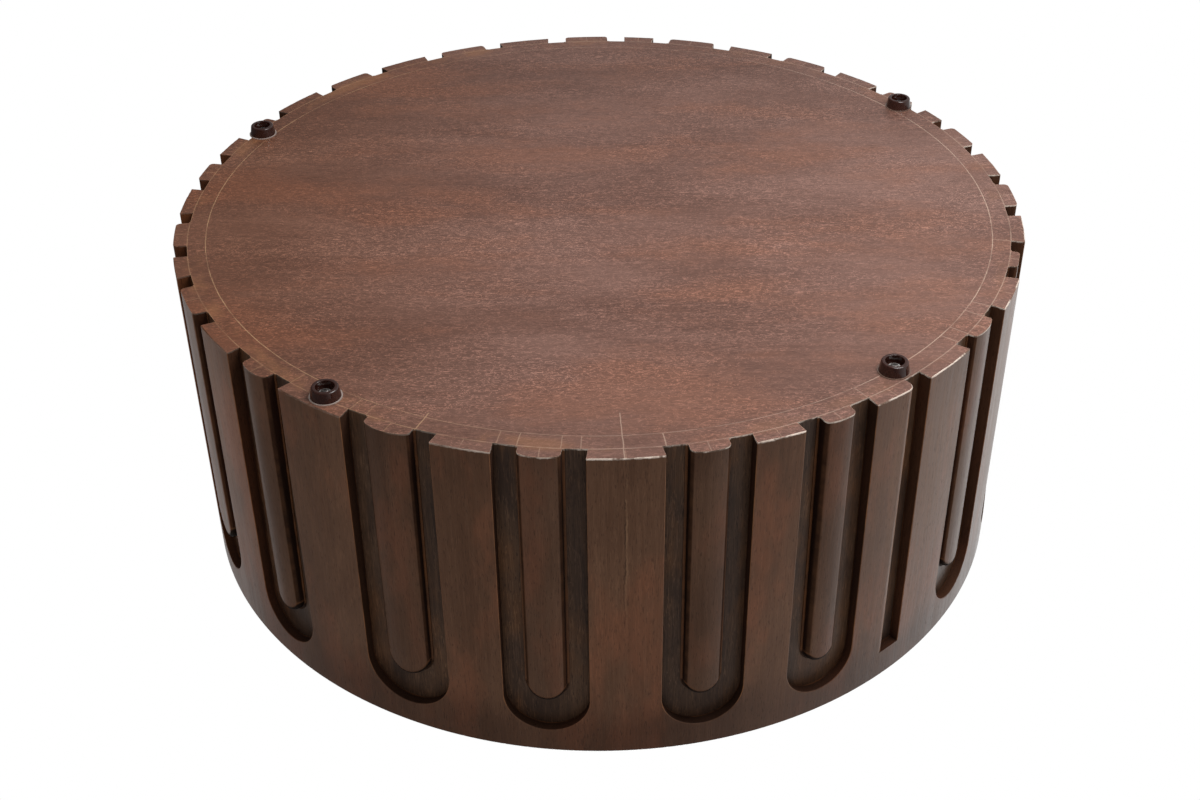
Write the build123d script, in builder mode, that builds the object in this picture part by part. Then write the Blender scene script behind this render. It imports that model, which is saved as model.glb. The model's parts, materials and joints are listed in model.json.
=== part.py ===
from build123d import *
from math import atan2, cos, degrees, hypot, radians, sin, sqrt
import os

# A low round drum table. Its wall is a core of curved panels with outer boards on it. Arch-shaped
# cut-outs in the boards, with a rounded tongue standing in each, leave channels that run out
# through the bottom edge. The channels are deepest there, because the core is slightly wider at
# the tabletop. z = 0 is the floor, under the feet, and the drum's axis is Z.

# Overall
DIAMETER = 1000.0
BODY_HEIGHT = 403.0

# Wall
CHANNEL_DEPTH_LOW = 16.0
CHANNEL_DEPTH_HIGH = 11.0
CORE_THICKNESS_LOW = 21.0
CORE_PANELS = 8
CORE_FIRST_JOINT = 43.4

# Channels. Each arch is (angle of its middle, angle between its two channels), in degrees: they
# were set out by eye, so no two are quite alike.
CHANNEL_WIDTH = 22.5
FLAT_ARCHES = [
    (11.0, 8.1), (27.0, 7.4), (46.6, 10.2), (67.3, 10.4), (88.2, 10.0),
    (105.9, 10.5), (125.9, 10.0), (144.7, 8.1), (159.8, 9.0), (178.2, 9.2),
    (335.1, 9.8), (352.7, 9.3),
]
DOMED_ARCHES = [(241.4, 7.3), (257.6, 7.8), (277.0, 8.1), (295.3, 9.0), (316.1, 7.8)]
SET_BACK_FLAT_ARCH = (196.1, 7.0)
SET_BACK_DOMED_ARCH = (214.1, 8.0)
GROOVE_ANGLE = 228.9
ARCH_BAND = 31.0
GROOVE_BAND = 37.0
GROOVE_ROUND_EDGE = 12.7
EDGE_EASE = 1.0

# Tongues. A flat one follows the drum's own curve, a domed one is more strongly curved. Two of
# them stand a little behind the drum's outer face.
TONGUE_END_GAP = 40.0
TONGUE_LEDGE_WIDTH = 2.5
TONGUE_LEDGE_HEIGHT = 1.0
DOME_RADIUS = 55.0
DOMED_EDGE = 9.0
FLAT_EDGE = 5.0
FLAT_SET_BACK = 5.5
DOMED_SET_BACK = 2.5

# Panels and the frame inside
TABLETOP_THICKNESS = 25.0
UNDERSIDE_THICKNESS = 18.0
BRACE_THICKNESS = 20.0
CLEAT_WIDTH = 25.0
CLEAT_HEIGHT = 30.0
CLEAT_ARC = 28.0

# Feet: (name, angle, distance of the screw outside the inner face of the core wall)
BACK_FOOT_INSET = 14.0
FRONT_FOOT_INSET = 16.5
GROOVE_FOOT_INSET = 3.0
FEET = [
    ("foot_back_right", 24.6, BACK_FOOT_INSET),
    ("foot_back_left", 146.7, BACK_FOOT_INSET),
    ("foot_front_left", 229.8, GROOVE_FOOT_INSET),
    ("foot_front_right", 305.2, FRONT_FOOT_INSET),
]
FOOT_HEIGHT = 12.5
FOOT_TIP_DIAMETER = 28.0
FOOT_BASE_DIAMETER = 32.0
FOOT_FLANGE_DIAMETER = 34.5
FOOT_FLANGE_THICKNESS = 0.8
FOOT_TIP_ROUND = 2.0
FOOT_MOUTH_ROUND = 0.6
FOOT_RECESS_DIAMETER = 20.0
FOOT_FLOOR_THICKNESS = 4.0
WASHER_DIAMETER = 13.0
WASHER_THICKNESS = 1.2
SCREW_DIAMETER = 4.2
SCREW_CLEARANCE = 0.3
SCREW_LENGTH = 24.0
SCREW_POINT = 4.0
SCREW_HEAD_DIAMETER = 8.0
SCREW_HEAD_HEIGHT = 2.6
SCREW_HEAD_ROUND = 1.1
CROSS_LENGTH = 4.6
CROSS_WIDTH = 1.0
CROSS_DEPTH = 1.3

# Worked out from those
RADIUS = DIAMETER / 2
CORE_LOW = RADIUS - CHANNEL_DEPTH_LOW
CORE_HIGH = RADIUS - CHANNEL_DEPTH_HIGH
CORE_INNER = CORE_LOW - CORE_THICKNESS_LOW
BASE = FOOT_HEIGHT
TOP = BASE + BODY_HEIGHT
ARCH_CROWN = TOP - ARCH_BAND
TONGUE_END = ARCH_CROWN - TONGUE_END_GAP
TONGUE_END_DEPTH = CHANNEL_DEPTH_LOW + (
    CHANNEL_DEPTH_HIGH - CHANNEL_DEPTH_LOW) * (TONGUE_END - BASE) / BODY_HEIGHT
GROOVE_CROWN = TOP - GROOVE_BAND
INSIDE_LOW = BASE + UNDERSIDE_THICKNESS
INSIDE_HIGH = TOP - TABLETOP_THICKNESS
INSIDE_MIDDLE = (INSIDE_LOW + INSIDE_HIGH) / 2
WASHER_SEAT = FOOT_HEIGHT - FOOT_FLOOR_THICKNESS
SCREW_SEAT = WASHER_SEAT - WASHER_THICKNESS
SCREW_HOLE_RADIUS = SCREW_DIAMETER / 2 + SCREW_CLEARANCE
TIP_WALL = (FOOT_TIP_DIAMETER - FOOT_RECESS_DIAMETER) / 2
PANEL_ARC = 360 / CORE_PANELS
BEYOND = 2 * CHANNEL_WIDTH
STANDING = (Align.CENTER, Align.CENTER, Align.MIN)

# Cross-sections of the rings that the wall is made of, as (radius, height) corners
BOARD_SECTION = [(CORE_LOW, BASE), (RADIUS, BASE), (RADIUS, TOP), (CORE_HIGH, TOP)]
CORE_SECTION = [(CORE_INNER, BASE), (CORE_LOW, BASE), (CORE_HIGH, TOP), (CORE_INNER, TOP)]
LEDGE_SECTION = [
    (CORE_LOW, BASE),
    (CORE_LOW + TONGUE_LEDGE_HEIGHT, BASE),
    (CORE_HIGH + TONGUE_LEDGE_HEIGHT, TOP),
    (CORE_HIGH, TOP),
]
TONGUE_SECTION = [
    (CORE_LOW + TONGUE_LEDGE_HEIGHT / 2, BASE),
    (RADIUS + BEYOND, BASE),
    (RADIUS + BEYOND, TOP),
    (CORE_HIGH + TONGUE_LEDGE_HEIGHT / 2, TOP),
]


def polar_point(radius, angle):
    return Vector(radius * cos(radians(angle)), radius * sin(radians(angle)), 0)


def outward(angle):
    """The plane through the drum's axis that looks out along angle: x runs round the drum, y up."""
    out = polar_point(1, angle)
    return Plane(origin=(0, 0, 0), x_dir=Vector(0, 0, 1).cross(out), z_dir=out)


def channel_spacing(span):
    """Straight distance at the outer face between two channels that are span degrees apart."""
    return 2 * RADIUS * sin(radians(span / 2))


def ring_sector(section, start, sweep):
    """Piece of a ring with the cross-section given, from the angle start over sweep degrees."""
    with BuildPart() as sector:
        with BuildSketch(Plane.XZ.rotated((0, 0, start))):
            with BuildLine():
                Polyline(*section, close=True)
            make_face()
        revolve(axis=Axis.Z, revolution_arc=sweep)
    return sector.part


def on_outer_face(edge):
    middle = edge @ 0.5
    return abs(hypot(middle.X, middle.Y) - RADIUS) < 0.01


def is_rim(edge):
    """True for the two rims of the outer face, at the base and at the tabletop."""
    middle = edge @ 0.5
    return on_outer_face(edge) and min(abs(middle.Z - BASE), abs(middle.Z - TOP)) < 0.01


def is_joint(edge, start, end):
    """True for an outer edge that lies on one of the piece's two side joints."""
    middle = edge @ 0.5
    angle = degrees(atan2(middle.Y, middle.X)) % 360
    return min(abs((angle - joint + 180) % 360 - 180) for joint in (start, end)) < 0.05


def strip_outline(width, crown):
    """A strip up the wall, as wide as given, with a half-round end whose top is at crown."""
    bottom = BASE - BEYOND
    shoulder = crown - width / 2
    with BuildSketch() as strip:
        with Locations((0, (bottom + shoulder) / 2)):
            Rectangle(width, shoulder - bottom)
        with Locations((0, shoulder)):
            Circle(width / 2)
    return strip.sketch


def make_arch_board(centre, span, start, end):
    """Outer board between the side joints start and end, with one arch cut out of it."""
    blank = ring_sector(BOARD_SECTION, start, end - start)
    arch = strip_outline(channel_spacing(span) + CHANNEL_WIDTH, ARCH_CROWN)
    with BuildPart() as board:
        add(blank)
        with BuildSketch(outward(centre)):
            add(arch)
        extrude(amount=RADIUS + BEYOND, mode=Mode.SUBTRACT)
        outline = board.edges().filter_by(on_outer_face)
        outline = outline.filter_by(lambda edge: not is_joint(edge, start, end))
        fillet(outline, EDGE_EASE)
    return board.part


def make_tongue(centre, span, face_radius, edge_round, set_back):
    """Strip with a rounded end that stands in an arch, on a thin ledge one channel inside it."""
    width = channel_spacing(span) - CHANNEL_WIDTH
    half_width = width / 2 - TONGUE_LEDGE_WIDTH
    drop = face_radius - sqrt(face_radius ** 2 - half_width ** 2)
    flank = TONGUE_END_DEPTH - set_back - drop - TONGUE_LEDGE_HEIGHT
    face_axis = polar_point(RADIUS - set_back - face_radius, centre)
    blank = ring_sector(TONGUE_SECTION, centre - span, 2 * span)
    strip = strip_outline(2 * half_width, TONGUE_END - TONGUE_LEDGE_WIDTH)
    ledge = make_ledge(centre, span, width)

    def at_face_edge(edge):
        middle = edge @ 0.5
        reach = hypot(middle.X - face_axis.X, middle.Y - face_axis.Y)
        return abs(reach - face_radius) < 0.01 and middle.Z > BASE + 0.01

    with BuildPart() as tongue:
        add(blank)
        with BuildSketch(outward(centre)):
            add(strip)
        extrude(amount=RADIUS + BEYOND, mode=Mode.INTERSECT)
        with Locations(face_axis):
            Cylinder(face_radius, 2 * TOP, mode=Mode.INTERSECT)
        fillet(tongue.edges().filter_by(at_face_edge), min(edge_round, 0.9 * flank))
        add(ledge)
    return tongue.part


def make_ledge(centre, span, width):
    """Thin foot of a tongue, flat on the core."""
    blank = ring_sector(LEDGE_SECTION, centre - span, 2 * span)
    strip = strip_outline(width, TONGUE_END)
    with BuildPart() as ledge:
        add(blank)
        with BuildSketch(outward(centre)):
            add(strip)
        extrude(amount=RADIUS + BEYOND, mode=Mode.INTERSECT)
    return ledge.part


def make_brace(angle, notch_middle):
    """Board on edge across the drum, half-lapped at its middle: its notch is around a height."""
    with BuildPart() as brace:
        with BuildSketch(Plane.XY.offset(INSIDE_LOW)):
            Circle(CORE_INNER)
            Rectangle(DIAMETER, BRACE_THICKNESS, rotation=angle, mode=Mode.INTERSECT)
        extrude(amount=INSIDE_HIGH - INSIDE_LOW)
        with Locations((0, 0, notch_middle)):
            Box(BRACE_THICKNESS, BRACE_THICKNESS, (INSIDE_HIGH - INSIDE_LOW) / 2,
                rotation=(0, 0, angle), mode=Mode.SUBTRACT)
    return brace.part


def make_cleats(low):
    """Curved blocks on the inside of the core wall, one behind each joint between its panels."""
    inner = CORE_INNER - CLEAT_WIDTH
    high = low + CLEAT_HEIGHT
    section = [(inner, low), (CORE_INNER, low), (CORE_INNER, high), (inner, high)]
    cleat = ring_sector(section, CORE_FIRST_JOINT - CLEAT_ARC / 2, CLEAT_ARC)
    with BuildPart() as cleats:
        with PolarLocations(0, CORE_PANELS):
            add(cleat)
    return cleats.part


def make_foot():
    """Tapered bumper foot, with a recess in its tip for the washer and the screw's head."""
    flange_low = FOOT_HEIGHT - FOOT_FLANGE_THICKNESS
    with BuildPart() as foot:
        with BuildSketch(Plane.XZ):
            with BuildLine():
                Polyline(
                    (FOOT_RECESS_DIAMETER / 2, 0),
                    (FOOT_TIP_DIAMETER / 2, 0),
                    (FOOT_BASE_DIAMETER / 2, flange_low),
                    (FOOT_FLANGE_DIAMETER / 2, flange_low),
                    (FOOT_FLANGE_DIAMETER / 2, FOOT_HEIGHT),
                    (SCREW_HOLE_RADIUS, FOOT_HEIGHT),
                    (SCREW_HOLE_RADIUS, WASHER_SEAT),
                    (FOOT_RECESS_DIAMETER / 2, WASHER_SEAT),
                    close=True,
                )
            make_face()
        revolve(axis=Axis.Z)
        tip_edges = foot.edges().group_by(Axis.Z)[0].sort_by(SortBy.RADIUS)
        fillet(tip_edges[-1], min(FOOT_TIP_ROUND, 0.45 * TIP_WALL))
        mouth = foot.edges().group_by(Axis.Z)[0].sort_by(SortBy.RADIUS)[0]
        fillet(mouth, min(FOOT_MOUTH_ROUND, 0.45 * TIP_WALL))
    return foot.part


def make_screw():
    """Cross-recessed screw, point up. Its head bears against the washer at z = SCREW_SEAT."""
    shank = SCREW_LENGTH - SCREW_POINT
    with BuildPart() as screw:
        with Locations((0, 0, SCREW_SEAT - SCREW_HEAD_HEIGHT)):
            Cylinder(SCREW_HEAD_DIAMETER / 2, SCREW_HEAD_HEIGHT, align=STANDING)
        fillet(screw.edges().group_by(Axis.Z)[0], min(SCREW_HEAD_ROUND, 0.45 * SCREW_HEAD_HEIGHT))
        with Locations((0, 0, SCREW_SEAT - SCREW_HEAD_HEIGHT)):
            Box(CROSS_LENGTH, CROSS_WIDTH, 2 * CROSS_DEPTH, mode=Mode.SUBTRACT)
            Box(CROSS_WIDTH, CROSS_LENGTH, 2 * CROSS_DEPTH, mode=Mode.SUBTRACT)
        with Locations((0, 0, SCREW_SEAT)):
            Cylinder(SCREW_DIAMETER / 2, shank, align=STANDING)
        with Locations((0, 0, SCREW_SEAT + shank)):
            Cone(SCREW_DIAMETER / 2, 0, SCREW_POINT, align=STANDING)
    return screw.part


def write(part, name):
    part.label = name
    export_step(part, f"parts/{name}.step")


os.makedirs("parts", exist_ok=True)

# Outer boards and tongues. The boards meet at the middle of each rib, halfway between one arch or
# groove and the next.
arches = [(arch, RADIUS, FLAT_EDGE, 0.0) for arch in FLAT_ARCHES]
arches += [(arch, DOME_RADIUS, DOMED_EDGE, 0.0) for arch in DOMED_ARCHES]
arches.append((SET_BACK_FLAT_ARCH, RADIUS, FLAT_EDGE, FLAT_SET_BACK))
arches.append((SET_BACK_DOMED_ARCH, DOME_RADIUS, DOMED_EDGE, DOMED_SET_BACK))
arches.sort()
features = sorted([arch for arch, _, _, _ in arches] + [(GROOVE_ANGLE, 0.0)])


def rib_middle(index):
    """Angle of the side joint between a feature and the one after it, round the drum."""
    centre, span = features[index % len(features)]
    after, after_span = features[(index + 1) % len(features)]
    gap = (after - after_span / 2) - (centre + span / 2)
    return centre + span / 2 + (gap % 360) / 2


def joints_of(centre):
    """Angles of the two side joints of the board whose arch or groove is at centre."""
    index = [angle for angle, _ in features].index(centre)
    end = rib_middle(index)
    return end - (end - rib_middle(index - 1)) % 360, end


for number, (arch, face_radius, edge_round, set_back) in enumerate(arches, start=1):
    tongue = make_tongue(*arch, face_radius, edge_round, set_back)
    write(make_arch_board(*arch, *joints_of(arch[0])), f"arch_board_{number:02d}")
    write(tongue, f"tongue_{number:02d}")

# Groove board: one straight channel with a square end. One of its long edges is rounded over.
groove_start, groove_end = joints_of(GROOVE_ANGLE)
groove_blank = ring_sector(BOARD_SECTION, groove_start, groove_end - groove_start)


def groove_edges():
    """Upright outer edges at the groove, from the one at the lowest angle to the highest."""
    walls = groove_board.edges().filter_by(Axis.Z).filter_by(on_outer_face)
    walls = walls.filter_by(lambda edge: not is_joint(edge, groove_start, groove_end))
    return walls.sort_by(lambda edge: outward(GROOVE_ANGLE).to_local_coords(edge @ 0.5).X)


with BuildPart() as groove_board:
    add(groove_blank)
    with BuildSketch(outward(GROOVE_ANGLE)):
        with Locations((0, (GROOVE_CROWN + BASE - BEYOND) / 2)):
            Rectangle(CHANNEL_WIDTH, GROOVE_CROWN - BASE + BEYOND)
    extrude(amount=RADIUS + BEYOND, mode=Mode.SUBTRACT)
    fillet(groove_edges()[-1], min(GROOVE_ROUND_EDGE, 0.95 * CHANNEL_DEPTH_HIGH))
    fillet([groove_edges()[0]] + groove_board.edges().filter_by(is_rim), EDGE_EASE)
write(groove_board.part, "groove_board")

# Core panels, with a pilot hole for each foot screw
foot_points = [polar_point(CORE_INNER + inset, angle) for _, angle, inset in FEET]
for number in range(CORE_PANELS):
    start = CORE_FIRST_JOINT + number * PANEL_ARC
    panel_blank = ring_sector(CORE_SECTION, start, PANEL_ARC)
    with BuildPart() as core_panel:
        add(panel_blank)
        with Locations(Location((0, 0, SCREW_SEAT))):
            with Locations(*foot_points):
                Cylinder(SCREW_DIAMETER / 2, SCREW_LENGTH, align=STANDING, mode=Mode.SUBTRACT)
    write(core_panel.part, f"core_panel_{number + 1}")

# Underside panel and tabletop
with BuildPart() as underside_panel:
    with BuildSketch(Plane.XY.offset(BASE)):
        Circle(CORE_INNER)
    extrude(amount=UNDERSIDE_THICKNESS)
write(underside_panel.part, "underside_panel")

with BuildPart() as tabletop:
    with BuildSketch(Plane.XY.offset(INSIDE_HIGH)):
        Circle(CORE_INNER)
    extrude(amount=TABLETOP_THICKNESS)
write(tabletop.part, "tabletop")

# Frame inside: two half-lapped braces, clear of the cleats
brace_angle = CORE_FIRST_JOINT + PANEL_ARC / 2
write(make_brace(brace_angle, (INSIDE_MIDDLE + INSIDE_HIGH) / 2), "brace_long")
write(make_brace(brace_angle + 90, (INSIDE_MIDDLE + INSIDE_LOW) / 2), "brace_cross")
write(make_cleats(INSIDE_HIGH - CLEAT_HEIGHT), "top_cleats")
write(make_cleats(INSIDE_LOW), "bottom_cleats")

# Feet, with their washers and screws
foot_blank = make_foot()
for (name, _, _), point in zip(FEET, foot_points):
    with BuildPart() as foot:
        with Locations(point):
            add(foot_blank)
    write(foot.part, name)

with BuildPart() as foot_washers:
    with Locations(Location((0, 0, SCREW_SEAT))):
        with Locations(*foot_points):
            Cylinder(WASHER_DIAMETER / 2, WASHER_THICKNESS, align=STANDING)
            Cylinder(SCREW_HOLE_RADIUS, WASHER_THICKNESS, align=STANDING, mode=Mode.SUBTRACT)
write(foot_washers.part, "foot_washers")

screw_blank = make_screw()
with BuildPart() as foot_screws:
    with Locations(*foot_points):
        add(screw_blank)
write(foot_screws.part, "foot_screws")
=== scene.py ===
import bpy
import json
from math import atan2, degrees, pi, radians
from mathutils import Matrix, Vector


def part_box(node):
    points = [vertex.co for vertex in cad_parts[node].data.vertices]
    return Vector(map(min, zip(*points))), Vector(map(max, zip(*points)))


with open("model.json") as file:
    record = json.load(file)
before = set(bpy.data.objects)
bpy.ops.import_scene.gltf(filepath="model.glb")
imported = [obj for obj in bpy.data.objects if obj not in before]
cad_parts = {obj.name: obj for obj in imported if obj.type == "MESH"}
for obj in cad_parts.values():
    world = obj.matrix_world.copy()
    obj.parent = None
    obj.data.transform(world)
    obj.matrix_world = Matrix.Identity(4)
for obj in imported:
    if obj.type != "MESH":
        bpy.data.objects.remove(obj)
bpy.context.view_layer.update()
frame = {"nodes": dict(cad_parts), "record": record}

# The drum, in metres. The floor is at z = 0, and the drum's axis is Z.
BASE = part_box("underside_panel")[0].z
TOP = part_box("tabletop")[1].z
DISC_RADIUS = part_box("underside_panel")[1].x
OUTER_RADIUS = 0.5
MIDDLE = (BASE + TOP) / 2
HALF_HEIGHT = (TOP - BASE) / 2
ROOT_RADIUS = 0.484     # of the channels' floor at the bottom plane
ROOT_SPREAD = 0.005     # how much further out that floor lies at the tabletop
FLANGE_THICKNESS = 0.0008
FLANGE_SLACK = 0.0001   # so that the flange's own top face counts as flange
LEVEL_SLACK = 0.0006    # a level face may lie this far from the end planes
CRACK_HEIGHT = 0.26     # how far the crack runs up the wall


# ------------------------------------------------------------------ node helpers

class Tree:
    """Adds nodes to one node tree. A value given for a socket is a number, a tuple or a socket."""

    def __init__(self, tree):
        self.tree = tree
        self.tree.nodes.clear()

    def add(self, kind, **settings):
        node = self.tree.nodes.new(kind)
        for name, value in settings.items():
            setattr(node, name, value)
        return node

    def put(self, socket, value):
        if isinstance(value, bpy.types.NodeSocket):
            self.tree.links.new(value, socket)
        elif isinstance(value, tuple) and socket.type == "RGBA" and len(value) == 3:
            socket.default_value = (*value, 1.0)
        else:
            socket.default_value = value

    def math(self, operation, *values, clamp=False):
        node = self.add("ShaderNodeMath", operation=operation, use_clamp=clamp)
        for socket, value in zip(node.inputs, values):
            self.put(socket, value)
        return node.outputs[0]

    def product(self, first, *others):
        """All the values multiplied."""
        for other in others:
            first = self.math("MULTIPLY", first, other)
        return first

    def vector_math(self, operation, *values):
        node = self.add("ShaderNodeVectorMath", operation=operation)
        for socket, value in zip(node.inputs, values):
            self.put(socket, value)
        return node.outputs["Value" if operation in ("DOT_PRODUCT", "LENGTH") else "Vector"]

    def split(self, vector):
        node = self.add("ShaderNodeSeparateXYZ")
        self.put(node.inputs[0], vector)
        return node.outputs

    def combine(self, x, y, z=0.0):
        node = self.add("ShaderNodeCombineXYZ")
        for socket, value in zip(node.inputs, (x, y, z)):
            self.put(socket, value)
        return node.outputs[0]

    def noise(self, vector, scale, detail=2.0, roughness=0.5, distortion=0.0):
        node = self.add("ShaderNodeTexNoise")
        self.put(node.inputs["Vector"], vector)
        self.put(node.inputs["Scale"], scale)
        self.put(node.inputs["Detail"], detail)
        self.put(node.inputs["Roughness"], roughness)
        self.put(node.inputs["Distortion"], distortion)
        return node.outputs["Fac"]

    def fit(self, value, low, high, to_low=0.0, to_high=1.0, kind="SMOOTHSTEP"):
        """value carried from the range low to high over to the range to_low to to_high."""
        node = self.add("ShaderNodeMapRange", interpolation_type=kind)
        for socket, part in zip(node.inputs, (value, low, high, to_low, to_high)):
            self.put(socket, part)
        return node.outputs[0]

    def mix(self, factor, first, second, blend="MIX"):
        node = self.add("ShaderNodeMix", data_type="RGBA", blend_type=blend)
        self.put(node.inputs["Factor"], factor)
        self.put(node.inputs["A"], first)
        self.put(node.inputs["B"], second)
        return node.outputs["Result"]

    def tint(self, colour, by):
        """colour multiplied by another one, channel by channel."""
        return self.mix(1.0, colour, by, "MULTIPLY")

    def either(self, mask, first, second):
        """first where mask is 0 and second where it is 1; a plain value where they are the same."""
        if first == second:
            return first
        if isinstance(first, tuple):
            return self.mix(mask, first, second)
        node = self.add("ShaderNodeMix", data_type="FLOAT")
        self.put(node.inputs["Factor"], mask)
        self.put(node.inputs["A"], first)
        self.put(node.inputs["B"], second)
        return node.outputs["Result"]

    def stretch(self, vector, scale):
        node = self.add("ShaderNodeMapping", vector_type="POINT")
        self.put(node.inputs["Vector"], vector)
        self.put(node.inputs["Scale"], scale)
        return node.outputs["Vector"]

    def bump(self, height, strength, distance):
        """Normal of a surface with this relief, at most distance metres high."""
        node = self.add("ShaderNodeBump")
        self.put(node.inputs["Strength"], strength)
        self.put(node.inputs["Distance"], distance)
        self.put(node.inputs["Height"], height)
        return node.outputs[0]

    def group(self, tree, **values):
        """An instance of a node group; a value's name is its socket's, with _ for a space."""
        node = self.add("ShaderNodeGroup", node_tree=tree)
        for name, value in values.items():
            self.put(node.inputs[name.replace("_", " ")], value)
        return node.outputs


def new_group(name, inputs, outputs):
    """An empty shader node group. inputs maps a socket's name to its start value, or to "" for a
    vector, and outputs maps one to its kind."""
    group = bpy.data.node_groups.new(name, "ShaderNodeTree")
    tree = Tree(group)
    kinds = {float: "NodeSocketFloat", tuple: "NodeSocketColor", str: "NodeSocketVector"}
    for socket_name, start in inputs.items():
        socket = group.interface.new_socket(
            socket_name, in_out="INPUT", socket_type=kinds[type(start)])
        if type(start) is float:
            socket.default_value = start
        elif type(start) is tuple:
            socket.default_value = (*start, 1.0)
    for socket_name, kind in outputs.items():
        group.interface.new_socket(socket_name, in_out="OUTPUT", socket_type=kind)
    return tree, tree.add("NodeGroupInput").outputs, tree.add("NodeGroupOutput").inputs


PORE_SHADE = (0.55, 0.55, 0.55)
COLOUR = "NodeSocketColor"
NUMBER = "NodeSocketFloat"


# ------------------------------------------------------------------ effects shared by materials

def build_grain():
    """Fine wood grain along X of the vector it is given, with pores and thin pale flecks."""
    tree, given, out = new_group(
        "wood_grain", {"Vector": "", "Fibre": 260.0, "Length": 0.035, "Fleck Length": 0.30},
        {"Grain": NUMBER, "Pores": NUMBER, "Flecks": NUMBER})
    x, y, z = tree.split(given["Vector"])
    wander = tree.noise(given["Vector"], 2.2, 2.0)
    shift = tree.math("MULTIPLY", tree.math("SUBTRACT", wander, 0.5), 0.03)
    along = tree.math("MULTIPLY", x, given["Length"])
    line = tree.combine(along, tree.math("ADD", y, shift), tree.math("ADD", z, shift))
    fibre = tree.noise(line, given["Fibre"], 3.0, 0.6)
    band = tree.noise(line, tree.math("MULTIPLY", given["Fibre"], 0.14), 2.0, 0.5, 0.4)
    both = tree.math("ADD", tree.math("MULTIPLY", fibre, 0.62), tree.math("MULTIPLY", band, 0.38))
    tree.put(out["Grain"], tree.fit(both, 0.36, 0.64))
    short = tree.combine(tree.math("MULTIPLY", along, 4.0), y, z)
    pores = tree.noise(short, tree.math("MULTIPLY", given["Fibre"], 3.2), 1.0)
    tree.put(out["Pores"], tree.fit(pores, 0.60, 0.70))
    crinkle = tree.combine(tree.math("MULTIPLY", x, given["Fleck Length"]), y, z)
    flecks = tree.noise(crinkle, tree.math("MULTIPLY", given["Fibre"], 1.2), 2.0, 0.6, 1.0)
    flecks = tree.math("ABSOLUTE", tree.math("SUBTRACT", flecks, 0.5))
    tree.put(out["Flecks"], tree.fit(flecks, 0.035, 0.0, 0.0, 1.0, "LINEAR"))
    return tree.tree


def build_stain(grain):
    """Dark stain over open grain: its colour, roughness and surface height."""
    tree, given, out = new_group(
        "dark_stain",
        {"Vector": "", "Place": "", "Dark": (0.03, 0.02, 0.015), "Light": (0.1, 0.06, 0.04),
         "Red": (0.1, 0.04, 0.03), "Contrast": 0.5, "Patches": 3.0, "Red Share": 0.4,
         "Fleck Strength": 0.3, "Fleck Length": 0.30, "Roughness": 0.45},
        {"Color": COLOUR, "Roughness": NUMBER, "Height": NUMBER})
    wood = tree.group(grain, Vector=given["Vector"], Fleck_Length=given["Fleck Length"])
    cloud = tree.fit(tree.noise(given["Place"], given["Patches"], 5.0, 0.62, 0.3), 0.36, 0.64)
    streak = tree.math("MULTIPLY", wood["Grain"], given["Contrast"])
    rest = tree.math("SUBTRACT", 1.0, given["Contrast"])
    shade = tree.math("ADD", streak, tree.math("MULTIPLY", rest, cloud), clamp=True)
    colour = tree.mix(shade, given["Dark"], given["Light"])
    elsewhere = tree.vector_math("ADD", given["Place"], (3.1, 1.7, 5.3))
    warm = tree.noise(elsewhere, tree.math("MULTIPLY", given["Patches"], 1.6), 4.0, 0.6)
    warm = tree.math("MULTIPLY", tree.fit(warm, 0.46, 0.66), given["Red Share"])
    colour = tree.mix(warm, colour, given["Red"])
    patch = tree.noise(elsewhere, tree.math("MULTIPLY", given["Patches"], 2.0), 3.0)
    patch = tree.fit(patch, 0.35, 0.65, 0.45, 1.0)
    fleck = tree.math("SUBTRACT", wood["Flecks"], 0.15)
    gain = tree.math("ADD", tree.product(fleck, given["Fleck Strength"], patch), 1.0)
    colour = tree.tint(colour, gain)
    pores = tree.tint(given["Dark"], PORE_SHADE)
    colour = tree.mix(tree.math("MULTIPLY", wood["Pores"], 0.5), colour, pores)
    tree.put(out["Color"], colour)
    rough = tree.math("ADD", given["Roughness"], tree.fit(wood["Grain"], 0.0, 1.0, -0.05, 0.05))
    tree.put(out["Roughness"], tree.math("ADD", rough, tree.math("MULTIPLY", wood["Pores"], 0.12)))
    dips = tree.math("MULTIPLY", wood["Pores"], 0.8)
    tree.put(out["Height"], tree.math("SUBTRACT", wood["Grain"], dips))
    return tree.tree


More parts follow.
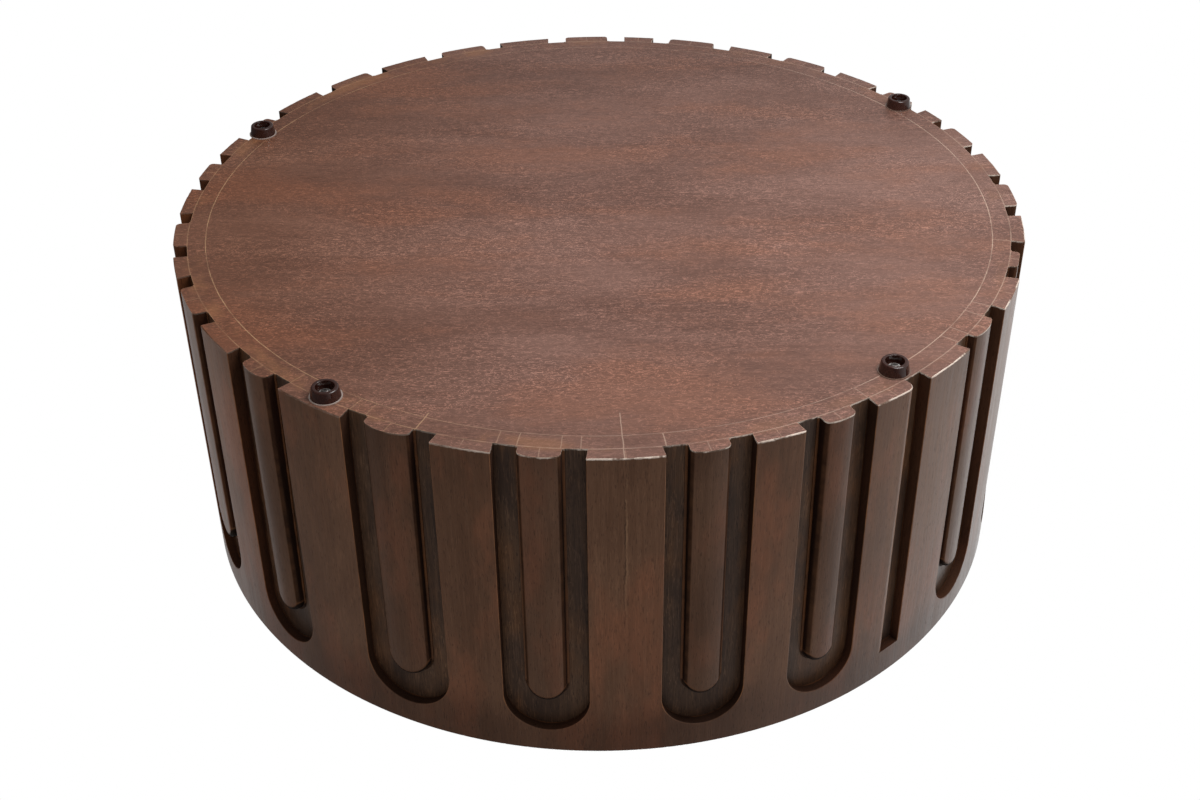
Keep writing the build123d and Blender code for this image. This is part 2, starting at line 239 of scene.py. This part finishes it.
def build_faces():
    """Masks for the faces of the drum's wall: Level at the bottom plane and the tabletop, Cut on
    the sides of the channels, Eased on rounded outer edges, Seam on the strip next to the core,
    Rim for a painted highlight on the corner round the bottom plane, and a last mask for painted
    shade on the wall, dark next to that plane and darker next to the tabletop."""
    tree, given, out = new_group(
        "wall_faces", {"Vector": "", "Cut From": 0.85, "Cut To": 0.25},
        dict.fromkeys(("Level", "Cut", "Eased", "Seam", "Rim", "End Shade"), NUMBER))
    x, y, z = tree.split(given["Vector"])
    normal = tree.add("ShaderNodeNewGeometry").outputs["Normal"]
    flatness = tree.math("ABSOLUTE", tree.split(normal)[2])
    from_middle = tree.math("ABSOLUTE", tree.math("SUBTRACT", z, MIDDLE))
    at_end = tree.math("GREATER_THAN", from_middle, HALF_HEIGHT - LEVEL_SLACK)
    level = tree.math("MULTIPLY", tree.math("GREATER_THAN", flatness, 0.93), at_end)
    upright = tree.math("SUBTRACT", 1.0, level)
    tree.put(out["Level"], level)
    flat = tree.combine(x, y)
    out_way = tree.vector_math("DOT_PRODUCT", tree.vector_math("NORMALIZE", flat), normal)
    cut = tree.fit(out_way, given["Cut From"], given["Cut To"])
    tree.put(out["Cut"], tree.math("MULTIPLY", cut, upright))
    thin = tree.fit(tree.noise(given["Vector"], 45.0, 3.0, 0.6), 0.35, 0.65, 0.25, 1.0)
    eased = tree.product(tree.fit(out_way, 0.2, 0.5), tree.fit(out_way, 0.995, 0.9))
    tree.put(out["Eased"], tree.product(eased, upright, tree.fit(flatness, 0.45, 0.15), thin))
    up_wall = tree.math("MULTIPLY", tree.math("SUBTRACT", z, BASE), ROOT_SPREAD / (TOP - BASE))
    from_root = tree.math("SUBTRACT", tree.vector_math("LENGTH", flat), up_wall)
    seam = tree.fit(from_root, ROOT_RADIUS + 0.0018, ROOT_RADIUS + 0.0011)
    tree.put(out["Seam"], tree.product(seam, upright, thin))
    # Rim: a painted highlight round the bottom plane, patchy and fainter towards +X.
    jag = tree.math("MULTIPLY", tree.noise(given["Vector"], 260.0, 3.0, 0.7), 0.003)
    rim = tree.fit(tree.math("ADD", z, jag), BASE + 0.0036, BASE + 0.0026)
    patchy = tree.fit(tree.noise(given["Vector"], 38.0, 4.0, 0.7), 0.40, 0.56, 0.10, 1.0)
    one_side = tree.fit(x, 0.25, -0.05, 0.10, 1.0)
    tree.put(out["Rim"], tree.product(rim, upright, patchy, one_side))
    # Painted shade: the wall darkens next to the bottom plane and more next to the tabletop.
    waver = tree.math("MULTIPLY", tree.noise(given["Vector"], 9.0, 3.0, 0.6), 0.08)
    height = tree.math("ADD", z, waver)
    end_shade = tree.math("ADD", tree.fit(height, BASE + 0.12, BASE + 0.03, 0.0, 0.35),
                      tree.fit(height, TOP - 0.06, TOP + 0.02))
    tree.put(out["End Shade"], tree.math("MULTIPLY", end_shade, upright))
    return tree.tree


def build_edge_wear_and_highlight():
    """Pale wear and a painted highlight along the edges of a flat face: 1 at an edge, 0 on the
    flat.
    """
    tree, given, out = new_group("edge_wear_and_highlight", {"Vector": "", "Reach": 0.0010}, {"Wear And Highlight": NUMBER})
    bevel = tree.add("ShaderNodeBevel", samples=4)
    tree.put(bevel.inputs["Radius"], given["Reach"])
    geometry = tree.add("ShaderNodeNewGeometry")
    turn = tree.vector_math("DOT_PRODUCT", bevel.outputs[0], geometry.outputs["Normal"])
    corner = tree.fit(turn, 0.995, 0.80)
    patchy = tree.fit(tree.noise(given["Vector"], 55.0, 4.0, 0.7), 0.38, 0.60, 0.25, 1.0)
    flat = tree.vector_math("MULTIPLY", given["Vector"], (1.0, 1.0, 0.0))
    beyond = tree.fit(tree.vector_math("LENGTH", flat), ROOT_RADIUS, ROOT_RADIUS + 0.002, 0.15, 1.0)
    tree.put(out["Wear And Highlight"], tree.product(corner, patchy, beyond))
    return tree.tree


def build_tip_lines():
    """Two lines round the upper end of a strip: Worn on its edge and Shade just past that."""
    tree, given, out = new_group("tip_lines", {"Reach": 0.0055}, {"Worn": NUMBER, "Shade": NUMBER})
    bevel = tree.add("ShaderNodeBevel", samples=4)
    tree.put(bevel.inputs["Radius"], given["Reach"])
    upward = tree.split(bevel.outputs[0])[2]
    tree.put(out["Worn"], tree.fit(upward, 0.02, 0.06))
    tree.put(out["Shade"], tree.fit(upward, 0.06, 0.14))
    return tree.tree


def build_painted_corner_shade():
    """Painted shade in inside corners, from ambient occlusion: 1 deep in one, 0 in the open."""
    tree, given, out = new_group("painted_corner_shade", {"Reach": 0.010}, {"Corner Shade": NUMBER})
    around = tree.add("ShaderNodeAmbientOcclusion", samples=6)
    tree.put(around.inputs["Distance"], given["Reach"])
    tree.put(out["Corner Shade"], tree.fit(around.outputs["AO"], 0.85, 0.35))
    return tree.tree


CORE = (0.463, 0.485)   # inner and outer radius of a line across the core's end
# Fine lines on the bottom: angle, from this radius, to this radius, strength
SCRIBED = [
    (310.7, *CORE, 0.5), (301.1, *CORE, 0.5), (298.8, *CORE, 0.4),
    (292.0, 0.455, 0.500, 1.0), (282.1, *CORE, 0.5), (279.7, 0.463, 0.500, 0.6),
    (274.6, *CORE, 0.5), (272.3, *CORE, 0.5), (267.4, 0.425, 0.500, 0.8),
    (262.5, *CORE, 0.8), (236.4, *CORE, 0.5), (219.0, *CORE, 0.6),
    (216.5, *CORE, 0.6), (211.6, *CORE, 0.6), (209.0, *CORE, 0.6),
    (191.3, *CORE, 0.6),
]
SPLIT_JOINT = 267.4     # angle of the one joint that shows as a crack up the wall
WARM_RADIUS = 0.479     # where the stain next to the lines is thinnest


def middle_angle(node):
    """Angle round the drum of a node's middle, in degrees."""
    low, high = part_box(node)
    return degrees(atan2((low.y + high.y) / 2, (low.x + high.x) / 2)) % 360


def build_joint_lines():
    """Thin lines over the joints: Line on the bottom, round the disc and round the core and across
    them; Warm, the stain worn thin beside them; Crack and Lip, one open joint up the wall."""
    tree, given, out = new_group("joint_lines", {"Vector": ""},
                                 dict.fromkeys(("Line", "Warm", "Crack", "Lip"), NUMBER))
    x, y, z = tree.split(given["Vector"])
    waver = tree.math("SUBTRACT", tree.noise(given["Vector"], 60.0, 3.0), 0.5)
    waver = tree.math("MULTIPLY", waver, 0.0022)
    flat = tree.vector_math("MULTIPLY", given["Vector"], (1.0, 1.0, 0.0))
    radius = tree.math("ADD", tree.vector_math("LENGTH", flat), tree.math("MULTIPLY", waver, 0.4))
    turned = tree.math("ARCTAN2", tree.math("MULTIPLY", y, -1.0), tree.math("MULTIPLY", x, -1.0))
    angle = tree.math("MULTIPLY_ADD", turned, 180 / pi, 180.0)

    def ring(at, width):
        return tree.fit(tree.math("ABSOLUTE", tree.math("SUBTRACT", radius, at)), width, width / 2)

    faint = tree.fit(tree.noise(given["Vector"], 24.0, 4.0, 0.65), 0.36, 0.56, 0.35, 1.0)
    sideways = tree.fit(tree.math("ABSOLUTE", x), 0.15, 0.42, 0.28, 0.70)
    line = tree.math("MAXIMUM", tree.product(ring(DISC_RADIUS, 0.0007), faint, sideways),
                     tree.product(ring(ROOT_RADIUS, 0.0008), faint, 0.35))
    over_tongues = [(middle_angle(node), ROOT_RADIUS, OUTER_RADIUS, 0.45) for node in TONGUES]
    for at, start, end, strength in SCRIBED + over_tongues:
        middle = (start + end) / 2
        away = tree.math("MULTIPLY", tree.math("SUBTRACT", angle, at), radians(1) * middle)
        away = tree.math("ABSOLUTE", tree.math("ADD", away, waver))
        within = tree.math("COMPARE", radius, middle, (end - start) / 2)
        stroke = tree.math("MULTIPLY", tree.fit(away, 0.0008, 0.0004, 0.0, 0.5 * strength), within)
        line = tree.math("MAXIMUM", line, stroke)
    tree.put(out["Line"], line)
    near = tree.math("ABSOLUTE", tree.math("SUBTRACT", radius, WARM_RADIUS))
    near = tree.fit(near, 0.015, 0.004)
    warm = tree.fit(tree.noise(given["Vector"], 16.0, 4.0, 0.6), 0.44, 0.62)
    tree.put(out["Warm"], tree.product(near, warm, tree.fit(x, -0.2, 0.2, 0.35, 1.0)))
    wander = tree.math("SUBTRACT", tree.noise(given["Vector"], 14.0, 6.0, 0.75), 0.5)
    wander = tree.math("MULTIPLY", wander, 0.012)
    past = tree.math("SUBTRACT", angle, SPLIT_JOINT)
    past = tree.math("MULTIPLY_ADD", past, radians(1) * OUTER_RADIUS, wander)
    fade = tree.fit(z, BASE + CRACK_HEIGHT, BASE + 0.10)
    crack = tree.fit(tree.math("ABSOLUTE", past), 0.0009, 0.0004)
    lip = tree.fit(tree.math("ABSOLUTE", tree.math("ADD", past, 0.0016)), 0.0011, 0.0005)
    broken = tree.fit(tree.noise(given["Vector"], 26.0, 4.0, 0.7), 0.42, 0.58, 0.1, 1.0)
    tree.put(out["Crack"], tree.product(crack, fade, broken))
    tree.put(out["Lip"], tree.product(lip, fade, broken))
    return tree.tree


GRAIN = build_grain()
STAIN = build_stain(GRAIN)
FACES = build_faces()
WORN_AND_HIGHLIGHT = build_edge_wear_and_highlight()
TONGUES = sorted(name for name in frame["nodes"] if name.startswith("tongue_"))
LINES = build_joint_lines()
CORNER_SHADE_GROUP = build_painted_corner_shade()
TIPS = build_tip_lines()


# ------------------------------------------------------------------ materials

def new_material(name):
    material = bpy.data.materials.new(name)
    material.use_nodes = True
    tree = Tree(material.node_tree)
    shader = tree.add("ShaderNodeBsdfPrincipled")
    output = tree.add("ShaderNodeOutputMaterial")
    tree.put(output.inputs["Surface"], shader.outputs["BSDF"])
    return material, tree, shader.inputs


# Colours
EDGE_STAIN = (0.32, 0.135, 0.055)    # stain rubbed thin on rounded edges
SEAM_STAIN = (0.220, 0.090, 0.036)   # and along the channels' floor
WORN_EDGE_AND_HIGHLIGHT = (0.56, 0.37, 0.25)      # on the edges of the level joints: worn stain and painted highlight
JOINT_LINE = (0.62, 0.37, 0.20)      # over the joints and the fine lines across them
PALE_LINE = (0.60, 0.43, 0.33)       # where that line is rubbed paler
WARM_STAIN = (0.42, 0.19, 0.080)     # beside those
RIM_HIGHLIGHT = (0.80, 0.66, 0.56)          # painted highlight along the rim
OPEN_JOINT = (0.020, 0.010, 0.007)   # down the crack

# Tints, by which the colour of the stain is multiplied
# painted shade at both ends of the wall
PAINTED_END_SHADE = (0.60, 0.56, 0.54)
WARM_TONE_AND_SHADE = (0.98, 0.82, 0.64)          # level faces towards +X: warmer stain, and darker as painted shade where less sheen falls
GREY_TONE_AND_SHEEN = (1.05, 1.10, 1.14)          # and towards -X: paler and greyer, a painted sheen
PAINTED_SHEEN_TAN = (1.60, 1.28, 0.90)          # the wall at the +X end: painted sheen, warm-tinted
# painted shade on the sides and crown ends of the channels and on the tongues' flanks
CHANNEL_SIDE_SHADE = (0.22, 0.17, 0.14)
LIGHTER_SIDE_SHADE = (0.46, 0.36, 0.30)      # the same painted shade, lighter at both ends of X
TIP_SHADE = (0.10, 0.09, 0.08)       # just past a tongue's edge
# painted shade in inside corners
PAINTED_CORNER_SHADE = (0.50, 0.44, 0.40)


def wood_material(name, wall, level, cut=0.9, cut_range=(0.85, 0.25), eased=0.0, seam=0.0,
                  split=False, tips=False, corner_shading=1.0):
    """Stained wood: the grain runs up the wall, and along X on the level faces. cut darkens the
    sides of the channels with painted shade, eased and seam show the thin stain on edges and next
    to the core, split opens one joint, tips lines the ends of the tongues, and the last argument
    sets the painted shade in inside corners."""
    material, tree, shader = new_material(name)
    place = tree.add("ShaderNodeTexCoord").outputs["Object"]
    across = tree.split(place)[0]
    faces = tree.group(FACES, Vector=place, Cut_From=cut_range[0], Cut_To=cut_range[1])
    upright = tree.math("SUBTRACT", 1.0, faces["Level"])
    turn = tree.add("ShaderNodeVectorRotate", rotation_type="Y_AXIS")
    tree.put(turn.inputs["Vector"], place)
    tree.put(turn.inputs["Angle"], tree.math("MULTIPLY", upright, radians(90)))
    grain_way = turn.outputs[0]
    values = {key: tree.either(faces["Level"], wall[key], level[key]) for key in wall}
    stain = tree.group(STAIN, Vector=grain_way, Place=tree.stretch(grain_way, (0.40, 1, 1)),
                       **values)
    # Painted shade, darker towards both ends of the wall.
    colour = tree.mix(faces["End Shade"], stain["Color"], tree.tint(stain["Color"], PAINTED_END_SHADE))
    # Partly stain tone and partly painted light: warmer and darker towards +X, paler with painted
    # sheen towards -X.
    warm_side, sheen_side = tree.tint(colour, WARM_TONE_AND_SHADE), tree.tint(colour, GREY_TONE_AND_SHEEN)
    colour = tree.mix(tree.product(tree.fit(across, 0.0, 0.50), faces["Level"]), colour, warm_side)
    colour = tree.mix(tree.product(tree.fit(across, -0.05, -0.45), faces["Level"]), colour, sheen_side)
    # Painted sheen: the wall is lighter and warmer at the +X end.
    sheen_at_end = tree.product(tree.fit(across, 0.34, 0.48), upright)
    colour = tree.mix(sheen_at_end, colour, tree.tint(colour, PAINTED_SHEEN_TAN))
    if cut:
        # Painted shade on the sides of the channels, lighter at both ends of X.
        ends = tree.math("MAXIMUM", tree.fit(across, -0.25, -0.42), tree.fit(across, 0.45, 0.485))
        shaded_sides = tree.tint(colour, tree.mix(ends, CHANNEL_SIDE_SHADE, LIGHTER_SIDE_SHADE))
        colour = tree.mix(tree.product(faces["Cut"], cut), colour, shaded_sides)
    if eased:
        colour = tree.mix(tree.product(faces["Eased"], eased), colour, EDGE_STAIN)
    if seam:
        colour = tree.mix(tree.product(faces["Seam"], seam), colour, SEAM_STAIN)
    if tips:
        tip = tree.group(TIPS)
        colour = tree.mix(tree.product(tip["Worn"], 0.6), colour, SEAM_STAIN)
        colour = tree.mix(tip["Shade"], colour, tree.tint(colour, TIP_SHADE))
    # Painted shade in inside corners, from ambient occlusion.
    corner_shade_mask = tree.product(tree.group(CORNER_SHADE_GROUP)["Corner Shade"], upright)
    colour = tree.mix(tree.product(corner_shade_mask, corner_shading), colour, tree.tint(colour, PAINTED_CORNER_SHADE))
    lines = tree.group(LINES, Vector=place)
    colour = tree.mix(tree.product(lines["Warm"], faces["Level"], 0.30), colour, WARM_STAIN)
    # Worn stain and a painted highlight on the edges of the level faces, fainter towards +X.
    worn_and_highlit = tree.product(tree.group(WORN_AND_HIGHLIGHT, Vector=place)["Wear And Highlight"], faces["Level"],
                        tree.fit(across, 0.45, 0.10, 0.35, 1.0))
    colour = tree.mix(worn_and_highlit, colour, WORN_EDGE_AND_HIGHLIGHT)
    drawn = tree.mix(tree.fit(across, 0.25, -0.05), JOINT_LINE, PALE_LINE)
    colour = tree.mix(tree.product(lines["Line"], faces["Level"]), colour, drawn)
    if split:
        colour = tree.mix(tree.product(lines["Lip"], upright, 0.20), colour, JOINT_LINE)
        colour = tree.mix(tree.product(lines["Crack"], upright, 0.55), colour, OPEN_JOINT)
    # Painted highlight along the rim next to the bottom plane.
    tree.put(shader["Base Color"], tree.mix(faces["Rim"], colour, RIM_HIGHLIGHT))
    dull = tree.math("MAXIMUM", faces["Cut"], corner_shade_mask)
    if tips:
        dull = tree.math("MAXIMUM", dull, tip["Shade"])
    tree.put(shader["Roughness"], tree.math("MULTIPLY_ADD", dull, 0.35, stain["Roughness"]))
    tree.put(shader["Normal"], tree.bump(stain["Height"], 0.25, 0.0004))
    tree.put(shader["Specular IOR Level"], 0.15)
    tree.put(shader["Coat Weight"], tree.math("MULTIPLY_ADD", dull, -0.30, 0.30))
    tree.put(shader["Coat Roughness"], 0.30)
    return material


# The wall's stain is darker than the underside's, though the wood is the same: partly painted shade
# for the wall, which gets less light. TONGUE and CHANNEL start from it.
WALL_STAIN_AND_SHADE = dict(Dark=(0.125, 0.058, 0.031), Light=(0.194, 0.096, 0.053), Red=(0.265, 0.097, 0.047),
            Contrast=0.35, Patches=9.0, Red_Share=0.54, Fleck_Strength=0.30, Fleck_Length=0.05,
            Roughness=0.42)
TONGUE = dict(WALL_STAIN_AND_SHADE, Dark=(0.098, 0.046, 0.025), Light=(0.152, 0.077, 0.044),
              Red=(0.208, 0.078, 0.040))
UNDER = dict(Dark=(0.150, 0.071, 0.051), Light=(0.232, 0.122, 0.094), Red=(0.252, 0.107, 0.066),
             Contrast=0.30, Patches=6.0, Red_Share=0.55, Fleck_Strength=1.4, Fleck_Length=0.30,
             Roughness=0.50)
CHANNEL = dict(WALL_STAIN_AND_SHADE, Dark=(0.060, 0.035, 0.025), Light=(0.130, 0.070, 0.040),
               Red=(0.180, 0.078, 0.032), Contrast=0.40, Patches=14.0, Fleck_Strength=0.9)
BARE = dict(Dark=(0.35, 0.24, 0.15), Light=(0.50, 0.37, 0.25), Red=(0.45, 0.28, 0.18),
            Contrast=0.6, Patches=5.0, Red_Share=0.3, Fleck_Strength=0.1, Fleck_Length=0.1,
            Roughness=0.6)


FOOT_DARK = (0.030, 0.0085, 0.0055)
FOOT_LIGHT = (0.042, 0.0128, 0.0085)
FLANGE_BROWN = (0.17, 0.105, 0.080)  # the feet at -X
FLANGE_PAINTED_HIGHLIGHT = (0.42, 0.33, 0.29)    # and at +X, paler: a painted highlight


def foot_material():
    """Glossy brown plastic on a thin flange, paler towards +X with a painted highlight."""
    material, tree, shader = new_material("foot_plastic")
    place = tree.add("ShaderNodeTexCoord").outputs["Object"]
    marks = tree.noise(place, 350.0, 3.0, 0.6)
    plastic = tree.mix(tree.fit(marks, 0.4, 0.7), FOOT_DARK, FOOT_LIGHT)
    x, y, z = tree.split(place)
    flange = tree.math("GREATER_THAN", z, BASE - FLANGE_THICKNESS - FLANGE_SLACK)
    # Painted highlight: the flange is paler towards +X.
    flange_tone = tree.mix(tree.fit(x, -0.25, 0.0), FLANGE_BROWN, FLANGE_PAINTED_HIGHLIGHT)
    tree.put(shader["Base Color"], tree.mix(flange, plastic, flange_tone))
    tree.put(shader["Roughness"], tree.fit(marks, 0.35, 0.65, 0.12, 0.18))
    tree.put(shader["Specular IOR Level"], 0.60)
    tree.put(shader["Normal"], tree.bump(marks, 0.05, 0.0002))
    return material


def steel_material(name, colour, low, high):
    """Zinc-plated steel with dull spots; its roughness goes from low to high."""
    material, tree, shader = new_material(name)
    place = tree.add("ShaderNodeTexCoord").outputs["Object"]
    marks = tree.noise(place, 900.0, 3.0, 0.6)
    dull = tree.noise(place, 160.0, 2.0, 0.5)
    duller = tuple(0.7 * part for part in colour)
    tree.put(shader["Base Color"], tree.mix(tree.fit(dull, 0.4, 0.7), colour, duller))
    tree.put(shader["Roughness"], tree.fit(marks, 0.3, 0.7, low, high))
    tree.put(shader["Metallic"], 1.0)
    tree.put(shader["Normal"], tree.bump(marks, 0.1, 0.0001))
    return material


FINISHES = {
    "board_wood": wood_material("board_wood", WALL_STAIN_AND_SHADE, UNDER, eased=0.85, seam=0.5, split=True),
    "tongue_wood": wood_material("tongue_wood", TONGUE, UNDER, cut=1.0, cut_range=(0.96, 0.80),
                                 eased=0.15, seam=0.9, tips=True),
    "core_wood": wood_material("core_wood", CHANNEL, UNDER, cut=0.0, corner_shading=0.35),
    "underside_wood": wood_material("underside_wood", UNDER, UNDER, cut=0.0),
    "tabletop_wood": wood_material("tabletop_wood", UNDER, UNDER, cut=0.0),
    "inner_wood": wood_material("inner_wood", BARE, BARE, cut=0.0),
    "foot_plastic": foot_material(),
    "washer_steel": steel_material("washer_steel", (0.72, 0.71, 0.69), 0.40, 0.60),
    "screw_steel": steel_material("screw_steel", (0.24, 0.22, 0.21), 0.30, 0.50),
}

for part in frame["record"]["subparts"]:
    mesh = frame["nodes"][part["node"]].data
    for index in range(max(1, len(mesh.materials))):
        if index < len(mesh.materials):
            mesh.materials[index] = FINISHES[part["material_slot"]]
        else:
            mesh.materials.append(FINISHES[part["material_slot"]])


# ------------------------------------------------------------------ floor, light and camera

FLOOR_SIZE = 12.0
FLOOR_REACH = 0.03      # the floor stops a bounced ray that has come less far than this
FLOOR_LIFT = 0.40       # brings the floor near the white behind it


def make_floor():
    """Pale floor that is there for a camera above it, so the table also shows from below. It also
    stops bounced light that starts close to it, which would glow under the table's edge."""
    bpy.ops.mesh.primitive_plane_add(size=FLOOR_SIZE)
    floor = bpy.context.object
    floor.name = "floor"
    material = bpy.data.materials.new("pale_floor")
    material.use_nodes = True
    tree = Tree(material.node_tree)
    place = tree.add("ShaderNodeTexCoord").outputs["Object"]
    shade = tree.fit(tree.noise(place, 3.0, 3.0), 0.3, 0.7)
    paint = tree.add("ShaderNodeBsdfDiffuse")
    tree.put(paint.inputs["Color"], tree.mix(shade, (0.80, 0.80, 0.79), (0.83, 0.83, 0.82)))
    path = tree.add("ShaderNodeLightPath").outputs
    front = tree.math("SUBTRACT", 1.0, tree.add("ShaderNodeNewGeometry").outputs["Backfacing"])
    seen = tree.math("MULTIPLY", path["Is Camera Ray"], front)
    close = tree.math("LESS_THAN", path["Ray Length"], FLOOR_REACH)
    bounces = tree.math("ADD", path["Diffuse Depth"], path["Is Shadow Ray"])
    turned = tree.math("GREATER_THAN", bounces, 1.5)
    pale = tree.add("ShaderNodeEmission")
    tree.put(pale.inputs["Strength"], tree.math("MULTIPLY", seen, FLOOR_LIFT))
    surface = tree.add("ShaderNodeAddShader")
    tree.put(surface.inputs[0], paint.outputs[0])
    tree.put(surface.inputs[1], pale.outputs[0])
    blend = tree.add("ShaderNodeMixShader")
    tree.put(blend.inputs["Fac"], tree.math("MAXIMUM", seen, tree.math("MULTIPLY", close, turned)))
    tree.put(blend.inputs[1], tree.add("ShaderNodeBsdfTransparent").outputs[0])
    tree.put(blend.inputs[2], surface.outputs[0])
    tree.put(tree.add("ShaderNodeOutputMaterial").inputs["Surface"], blend.outputs[0])
    floor.data.materials.append(material)


GLOSS_COOL = (1.06, 0.96, 0.87)
GLOSS_WARM = (1.25, 0.92, 0.66)


def make_world():
    """White behind the table, and a soft light on it that is stronger from one side. What the gloss
    shows goes from white on that side to dark grey on the other."""
    world = bpy.data.worlds.new("studio")
    world.use_nodes = True
    tree = Tree(world.node_tree)
    path = tree.add("ShaderNodeLightPath").outputs
    way = tree.add("ShaderNodeTexCoord").outputs["Generated"]
    sideways = tree.split(way)[0]

    def along(direction):
        return tree.vector_math("DOT_PRODUCT", way, direction)

    soft = tree.math("MULTIPLY_ADD", along((0.0, -0.6, -0.8)), 0.16, 0.36)
    gloss = tree.fit(along((-0.95, 0.25, -0.2)), -0.1, 0.8, 0.10, 0.68, "LINEAR")
    behind = tree.product(tree.fit(along((-0.15, 0.55, 0.82)), 0.45, 0.80),
                          tree.fit(sideways, 0.4, -0.5, 0.75, 1.40))
    glow = tree.mix(tree.fit(sideways, -0.3, 0.4), GLOSS_COOL, GLOSS_WARM)
    gloss = tree.tint(tree.math("MAXIMUM", gloss, behind), glow)
    shiny = tree.math("MAXIMUM", path["Is Glossy Ray"], path["Is Transmission Ray"])
    light = tree.add("ShaderNodeBackground")
    colour = tree.mix(path["Is Camera Ray"], tree.either(shiny, soft, gloss), (1.0, 1.0, 1.0))
    tree.put(light.inputs["Color"], colour)
    tree.put(tree.add("ShaderNodeOutputWorld").inputs["Surface"], light.outputs[0])
    bpy.context.scene.world = world


def make_lamp(name, place, target, size, power):
    data = bpy.data.lights.new(name, "AREA")
    data.shape = "DISK"
    data.size = size
    data.energy = power
    lamp = bpy.data.objects.new(name, data)
    bpy.context.scene.collection.objects.link(lamp)
    lamp.location = place
    lamp.rotation_euler = (Vector(target) - Vector(place)).to_track_quat("-Z", "Y").to_euler()


LENS = 49.92            # mm
SENSOR_WIDTH = 36.0     # mm
CAMERA_PLACE = Vector((0.0, -1.75915, -0.95479))


def make_camera():
    """Camera below the floor, rolled over, as for a table that has been turned onto its top."""
    camera = bpy.data.objects.new("camera", bpy.data.cameras.new("camera"))
    bpy.context.scene.collection.objects.link(camera)
    camera.data.lens = LENS
    camera.data.sensor_width = SENSOR_WIDTH
    right = Vector((-0.99995621, -0.00520904, 0.00777506))
    up = Vector((-0.00935473, 0.5806114, -0.81412707))
    back = right.cross(up)
    matrix = Matrix((right, up, back)).transposed().to_4x4()
    matrix.translation = CAMERA_PLACE
    camera.matrix_world = matrix
    bpy.context.scene.camera = camera


make_floor()
make_world()
make_lamp("lamp_below", (-0.58, -0.32, BASE - 1.05), (-0.1, 0.0, MIDDLE), 0.8, 12.9)
make_lamp("lamp_above", (-0.05, 0.0, TOP + 1.05), (-0.05, 0.0, MIDDLE), 0.7, 11.0)
make_camera()
bpy.context.scene.view_settings.view_transform = "Standard"
